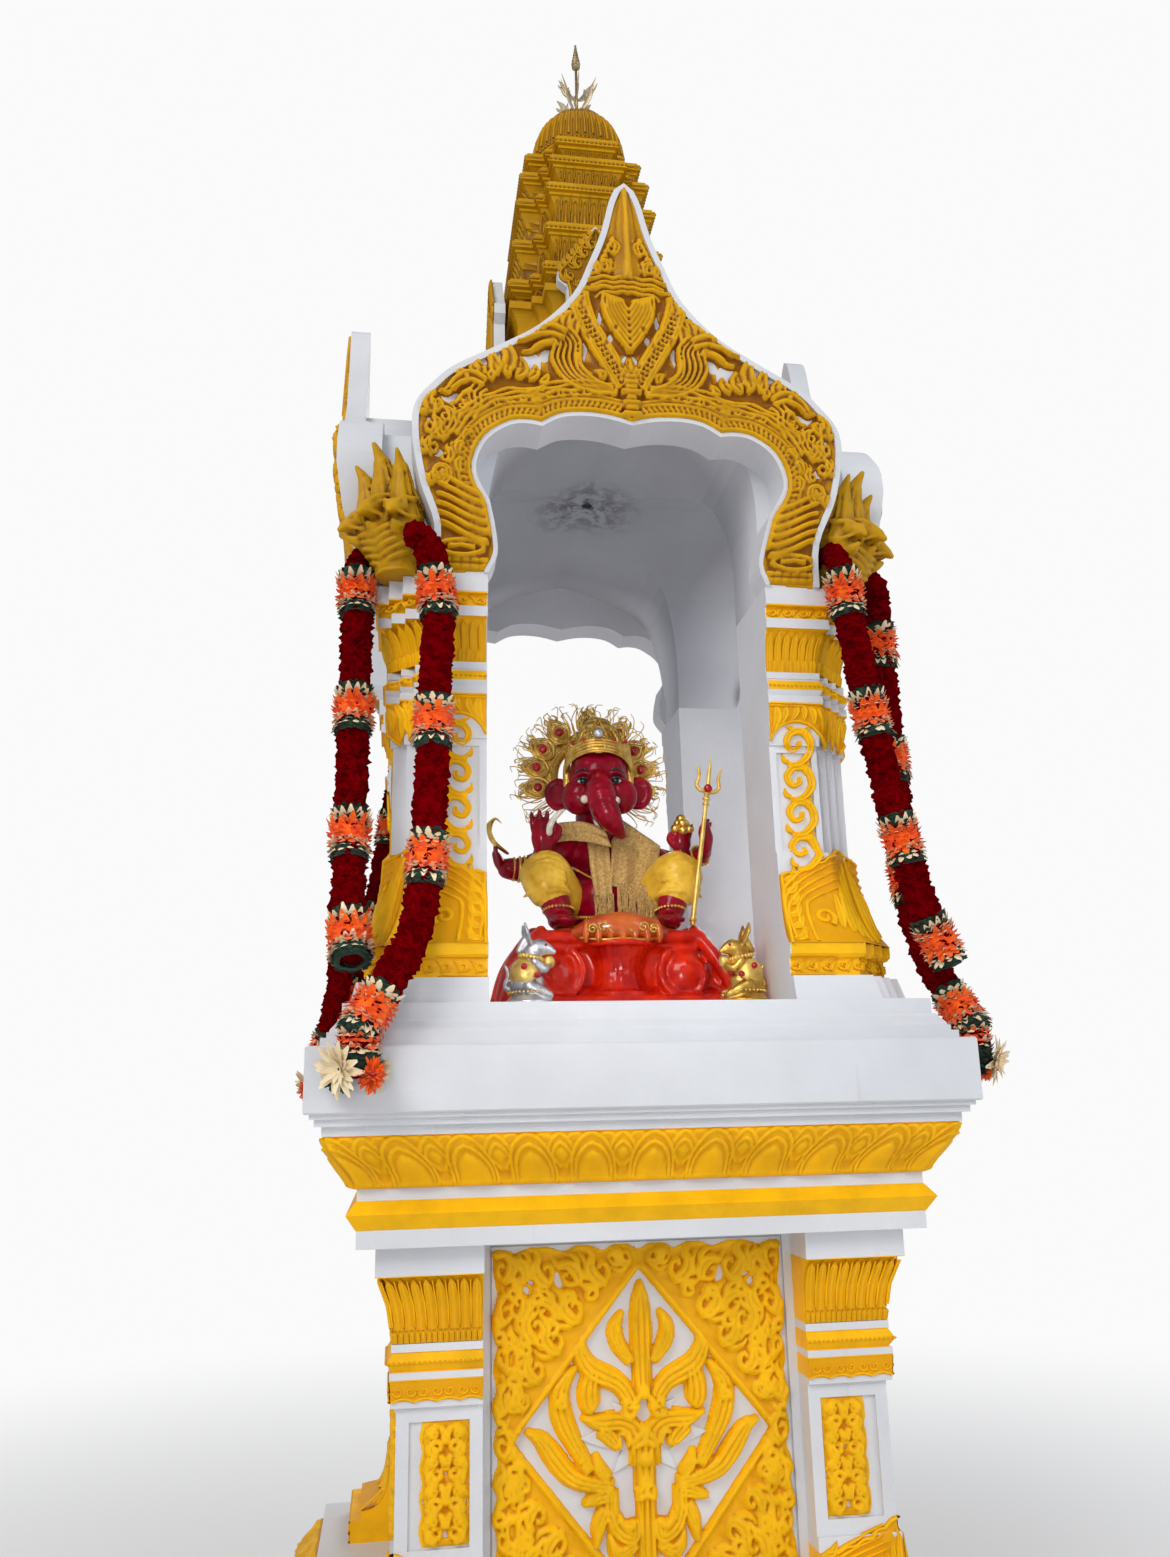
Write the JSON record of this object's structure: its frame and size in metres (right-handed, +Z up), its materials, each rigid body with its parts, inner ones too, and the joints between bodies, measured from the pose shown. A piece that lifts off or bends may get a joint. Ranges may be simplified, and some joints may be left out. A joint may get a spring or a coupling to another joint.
{
  "type": "spirit house shrine",
  "caption": "Four-sided arched chamber with lobed gables under a stepped tower, on a square moulded pedestal, with a seated figure, small animals and hanging garlands.",
  "frame": {"origin": "middle of the pedestal's foot, on the ground", "axes": "+Z up, the front faces -Y, +X to the right of a person who looks at the front"},
  "size_m": [1.36, 1.36, 4.065],
  "materials": {
    "white_paint": "matt white masonry paint on cast concrete",
    "yellow_paint": "satin yellow masonry paint on cast concrete",
    "red_lacquer": "gloss crimson paint",
    "gold_metal": "polished gold plate",
    "silver_metal": "polished silver paint",
    "bronze": "weathered bronze",
    "gold_cloth": "sequin cloth",
    "flowers": "plush artificial flowers"
  },
  "bodies": {
    "root": {"pedestal_base": "white_paint", "pedestal_wall": "white_paint", "pedestal_pier_front_left": "white_paint", "pedestal_pier_front_right": "white_paint", "pedestal_pier_back_right": "white_paint", "pedestal_pier_back_left": "white_paint", "pedestal_cornice": "white_paint", "table_slab": "white_paint", "chamber_ledge": "white_paint", "pillar_front_left": "white_paint", "pillar_front_right": "white_paint", "pillar_back_right": "white_paint", "pillar_back_left": "white_paint", "gable_front": "white_paint", "gable_right": "white_paint", "gable_back": "white_paint", "gable_left": "white_paint", "roof_vault": "white_paint", "naga_front_left": "yellow_paint", "naga_front_right": "yellow_paint", "naga_back_right": "yellow_paint", "naga_back_left": "yellow_paint", "tower_body": "yellow_paint", "tower_gables": "white_paint", "tower_tier_1": "yellow_paint", "tower_tier_2": "yellow_paint", "tower_tier_3": "yellow_paint", "tower_tier_4": "yellow_paint", "tower_tier_5": "yellow_paint", "tower_dome": "yellow_paint", "finial": "bronze", "throne": "red_lacquer", "statue_body": "red_lacquer", "statue_head": "red_lacquer", "statue_crown": "gold_metal", "statue_shawl": "gold_cloth", "statue_trident": "gold_metal", "mouse_silver": "silver_metal", "mouse_gold": "gold_metal", "garland_front_left": "flowers", "garland_front_right": "flowers", "garland_back_right": "flowers", "garland_back_left": "flowers"}
  },
  "joints": []
}
